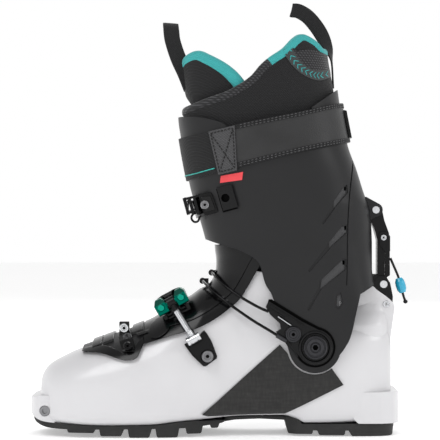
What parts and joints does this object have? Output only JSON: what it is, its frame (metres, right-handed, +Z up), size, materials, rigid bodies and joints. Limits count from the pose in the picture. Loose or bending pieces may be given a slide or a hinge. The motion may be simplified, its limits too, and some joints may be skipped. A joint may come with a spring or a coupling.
{
  "type": "alpine touring boot",
  "caption": "Alpine touring boot for the right foot: rigid lower shell, hinged cuff with walk lock, padded liner, buckles and strap.",
  "frame": {"origin": "on the ground under the middle of the sole", "axes": "+X towards the heel, +Y towards the outer side of the right foot, +Z up"},
  "size_m": [0.3077, 0.1132, 0.353],
  "materials": {
    "shell_white": "gloss",
    "cuff_black": "satin",
    "carbon": "satin",
    "rubber": "matte",
    "steel": "satin",
    "green_alu": "satin",
    "foam": "matte",
    "teal": "matte",
    "webbing": "matte",
    "tag_red": "matte",
    "bead_blue": "gloss"
  },
  "bodies": {
    "shell": {"lower_shell": "shell_white", "sole_front": "rubber", "sole_heel": "rubber", "arch_plate": "rubber", "side_panel_medial": "carbon", "side_panel_lateral": "carbon", "toe_insert": "steel", "heel_insert": "steel", "forefoot_gaiter": "cuff_black", "tongue": "cuff_black", "front_catch": "cuff_black", "catch_screw_upper": "steel", "catch_screw_lower": "steel", "pivot_bolt_medial": "cuff_black", "pivot_bolt_lateral": "cuff_black", "anchor_medial": "cuff_black", "anchor_lateral": "cuff_black", "anchor_disc": "cuff_black", "instep_cable": "steel", "cable_guide_upper": "cuff_black", "cable_guide_lower": "cuff_black", "forefoot_bracket": "cuff_black", "forefoot_bracket_screw": "steel", "forefoot_rack": "cuff_black", "latch_bracket": "cuff_black", "latch_pin_medial": "steel", "latch_pin_lateral": "steel", "liner_foot": "foam", "insole": "teal"},
    "cuff": {"cuff": "cuff_black", "window_backing_medial": "cuff_black", "window_backing_lateral": "cuff_black", "link_rivet": "steel", "strap_band": "webbing", "strap_webbing": "webbing", "strap_patch_medial": "webbing", "strap_patch_lateral": "webbing", "strap_buckle": "cuff_black", "blank_tag": "tag_red", "cuff_rack": "cuff_black", "cuff_rack_screw": "steel", "spare_plate": "cuff_black", "cuff_lever_base": "cuff_black", "liner_cuff": "foam", "liner_tongue": "foam", "tongue_loop": "webbing", "collar_loop": "webbing"},
    "forefoot_rod": {"forefoot_rod": "steel"},
    "forefoot_lever": {"forefoot_lever": "green_alu"},
    "instep_lever": {"instep_lever": "cuff_black"},
    "cuff_lever": {"cuff_lever": "cuff_black"},
    "cuff_bail": {"cuff_bail": "steel"},
    "lock_link": {"lock_link": "cuff_black"},
    "lock_lever": {"lock_lever": "cuff_black", "pull_cord": "webbing", "cord_bead": "bead_blue"}
  },
  "joints": [
    {"name": "cuff_flex", "type": "hinge", "parent": "shell", "child": "cuff", "pos_m": [0.0804, 0, 0.0728], "axis": [0, -1, 0], "range_deg": [-10, 12]},
    {"name": "forefoot_rod_swing", "type": "hinge", "parent": "shell", "child": "forefoot_rod", "pos_m": [-0.0164, -0.0536, 0.0796], "axis": [0.8771, 0, 0.4802], "range_deg": [0, 60]},
    {"name": "forefoot_lever_open", "type": "hinge", "parent": "forefoot_rod", "child": "forefoot_lever", "pos_m": [-0.03468, -0.041, 0.10828], "axis": [0.8771, 0, 0.4802], "range_deg": [0, 90]},
    {"name": "instep_lever_open", "type": "hinge", "parent": "shell", "child": "instep_lever", "pos_m": [0.0621, 0.0524, 0.085], "axis": [-0.6, 0, -0.8], "range_deg": [0, 90], "deforming": ["instep_cable"]},
    {"name": "cuff_lever_open", "type": "hinge", "parent": "cuff", "child": "cuff_lever", "pos_m": [0.022, 0.0526, 0.193], "axis": [0, 0, 1], "range_deg": [0, 100]},
    {"name": "cuff_bail_swing", "type": "hinge", "parent": "cuff", "child": "cuff_bail", "pos_m": [0.022, 0.0526, 0.193], "axis": [0, 0, -1], "range_deg": [0, 40]},
    {"name": "lock_link_swing", "type": "hinge", "parent": "cuff", "child": "lock_link", "pos_m": [0.1319, 0, 0.1827], "axis": [0, -1, 0], "range_deg": [-10, 12]},
    {"name": "lock_lever_open", "type": "hinge", "parent": "lock_link", "child": "lock_lever", "pos_m": [0.1384, 0, 0.16], "axis": [0, -1, 0], "range_deg": [0, 20]}
  ],
  "couplings": [
    {"joint": "cuff_bail_swing", "follows": "cuff_lever_open", "ratio": 0.4},
    {"joint": "lock_link_swing", "follows": "cuff_flex", "ratio": 1}
  ]
}
